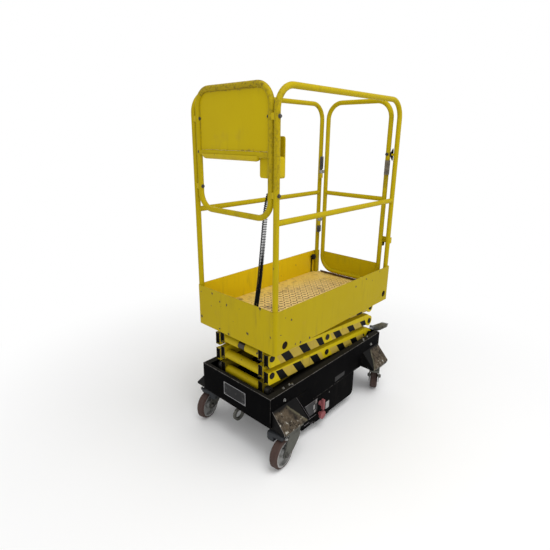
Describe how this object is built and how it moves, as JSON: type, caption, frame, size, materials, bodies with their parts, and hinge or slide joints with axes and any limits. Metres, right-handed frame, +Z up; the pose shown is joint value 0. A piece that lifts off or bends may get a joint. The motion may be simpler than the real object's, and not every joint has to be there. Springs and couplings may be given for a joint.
{
  "type": "scissor lift",
  "caption": "Push-around scissor lift: caged platform with sign loop and swing gate, folded scissor stack, black chassis with power pack, on swivel castors.",
  "frame": {"origin": "middle of the footprint on the ground", "axes": "+X to the gate end, -Y the side with the base controls, +Z up"},
  "size_m": [1.1408, 0.7083, 1.8135],
  "materials": {
    "yellow_paint": "chipped gloss paint",
    "black_paint": "worn satin paint",
    "zinc_steel": "dull zinc",
    "cast_centre": "grey cast",
    "tread": "matt",
    "bare_plate": "brushed",
    "red_plastic": "faded",
    "black_rubber": "matt",
    "black_plastic": "matt",
    "battery": "plain",
    "polished_rod": "polished"
  },
  "bodies": {
    "chassis": {"chassis_frame": "black_paint", "power_pack_box": "black_paint", "battery_block": "battery", "castor_brackets": "black_paint", "castor_plates": "zinc_steel", "base_mounts": "black_paint", "base_shaft": "zinc_steel", "data_plate": "bare_plate", "control_panel": "bare_plate", "isolator_key": "red_plastic", "stop_button": "red_plastic", "tow_eye": "zinc_steel", "brake_lever": "zinc_steel"},
    "outer_1": {"outer_arms_1": "yellow_paint"},
    "inner_1": {"inner_arms_1": "yellow_paint", "inner_tubes_1": "yellow_paint", "base_rollers": "zinc_steel"},
    "outer_2": {"outer_arms_2": "yellow_paint"},
    "inner_2": {"inner_arms_2": "yellow_paint", "inner_tubes_2": "yellow_paint"},
    "outer_3": {"outer_arms_3": "yellow_paint", "deck_rollers": "zinc_steel"},
    "inner_3": {"inner_arms_3": "yellow_paint", "inner_tubes_3": "yellow_paint"},
    "barrel": {"ram_barrel": "black_paint"},
    "rod": {"ram_rod": "polished_rod"},
    "platform": {"deck": "yellow_paint", "tray_front": "yellow_paint", "tray_left": "yellow_paint", "tray_right": "yellow_paint", "deck_rails": "yellow_paint", "deck_lugs": "yellow_paint", "guard_rail_left": "yellow_paint", "guard_rail_right": "yellow_paint", "front_loop": "yellow_paint", "sign_panel": "yellow_paint", "loop_clamps": "zinc_steel", "control_bracket": "yellow_paint", "control_box": "yellow_paint", "cord_glands": "black_rubber", "coiled_cord": "black_rubber", "hinge_clamps": "yellow_paint", "gate_stop": "yellow_paint"},
    "gate": {"gate_loop": "yellow_paint", "kick_plate": "yellow_paint", "gate_hinges": "zinc_steel", "gate_latch": "black_plastic"},
    "swivel_fr": {"fork_fr": "zinc_steel"},
    "wheel_fr": {"rim_fr": "cast_centre", "tyre_fr": "tread"},
    "swivel_fl": {"fork_fl": "zinc_steel"},
    "wheel_fl": {"rim_fl": "cast_centre", "tyre_fl": "tread"},
    "swivel_rr": {"fork_rr": "zinc_steel"},
    "wheel_rr": {"rim_rr": "cast_centre", "tyre_rr": "tread"},
    "swivel_rl": {"fork_rl": "zinc_steel"},
    "wheel_rl": {"rim_rl": "cast_centre", "tyre_rl": "tread"}
  },
  "joints": [
    {"name": "lift", "type": "hinge", "parent": "chassis", "child": "outer_1", "pos_m": [0.48, 0, 0.365], "axis": [0, 1, 0], "range_deg": [0, 62.17]},
    {"name": "cross_1", "type": "hinge", "parent": "outer_1", "child": "inner_1", "pos_m": [0.015, 0, 0.4125], "axis": [0, -1, 0], "range_deg": [0, 124.33]},
    {"name": "knee_1", "type": "hinge", "parent": "inner_1", "child": "outer_2", "pos_m": [0.48, 0, 0.46], "axis": [0, 1, 0], "range_deg": [0, 124.33]},
    {"name": "cross_2", "type": "hinge", "parent": "outer_2", "child": "inner_2", "pos_m": [0.015, 0, 0.5075], "axis": [0, -1, 0], "range_deg": [0, 124.33]},
    {"name": "knee_2", "type": "hinge", "parent": "inner_2", "child": "outer_3", "pos_m": [0.48, 0, 0.555], "axis": [0, 1, 0], "range_deg": [0, 124.33]},
    {"name": "cross_3", "type": "hinge", "parent": "outer_3", "child": "inner_3", "pos_m": [0.015, 0, 0.6025], "axis": [0, -1, 0], "range_deg": [0, 124.33]},
    {"name": "deck_level", "type": "hinge", "parent": "inner_3", "child": "platform", "pos_m": [0.48, 0, 0.65], "axis": [0, 1, 0], "range_deg": [0, 62.17]},
    {"name": "ram_swing", "type": "hinge", "parent": "chassis", "child": "barrel", "pos_m": [0.48, 0, 0.365], "axis": [0, 1, 0], "range_deg": [0, 67.03]},
    {"name": "ram_stroke", "type": "slide", "parent": "barrel", "child": "rod", "axis": [-0.9798, 0, 0.2002], "range_m": [0, 0.81954]},
    {"name": "gate_swing", "type": "hinge", "parent": "platform", "child": "gate", "pos_m": [0.483, 0.24225, 1.2], "axis": [0, 0, -1], "range_deg": [0, 90]},
    {"name": "swivel_fr", "type": "hinge", "parent": "chassis", "child": "swivel_fr", "pos_m": [-0.43, -0.3, 0.19], "axis": [0, 0, 1], "continuous": true},
    {"name": "roll_fr", "type": "hinge", "parent": "swivel_fr", "child": "wheel_fr", "pos_m": [-0.4895, -0.30773, 0.08], "axis": [0.1288, -0.9917, 0], "continuous": true},
    {"name": "swivel_fl", "type": "hinge", "parent": "chassis", "child": "swivel_fl", "pos_m": [-0.43, 0.3, 0.19], "axis": [0, 0, 1], "continuous": true},
    {"name": "roll_fl", "type": "hinge", "parent": "swivel_fl", "child": "wheel_fl", "pos_m": [-0.48796, 0.28447, 0.08], "axis": [0.2588, -0.9659, 0], "continuous": true},
    {"name": "swivel_rr", "type": "hinge", "parent": "chassis", "child": "swivel_rr", "pos_m": [0.43, -0.3, 0.19], "axis": [0, 0, 1], "continuous": true},
    {"name": "roll_rr", "type": "hinge", "parent": "swivel_rr", "child": "wheel_rr", "pos_m": [0.48346, -0.27276, 0.08], "axis": [-0.454, 0.891, 0], "continuous": true},
    {"name": "swivel_rl", "type": "hinge", "parent": "chassis", "child": "swivel_rl", "pos_m": [0.43, 0.3, 0.19], "axis": [0, 0, 1], "continuous": true},
    {"name": "roll_rl", "type": "hinge", "parent": "swivel_rl", "child": "wheel_rl", "pos_m": [0.49, 0.3, 0.08], "axis": [0, 1, 0], "continuous": true}
  ],
  "couplings": [
    {"joint": "cross_1", "follows": "lift", "ratio": 2},
    {"joint": "knee_1", "follows": "lift", "ratio": 2},
    {"joint": "cross_2", "follows": "lift", "ratio": 2},
    {"joint": "knee_2", "follows": "lift", "ratio": 2},
    {"joint": "cross_3", "follows": "lift", "ratio": 2},
    {"joint": "deck_level", "follows": "lift", "ratio": 1},
    {"joint": "ram_swing", "follows": "lift", "ratio": 1.0783},
    {"joint": "ram_stroke", "follows": "lift", "m_per_rad": 0.75514}
  ]
}
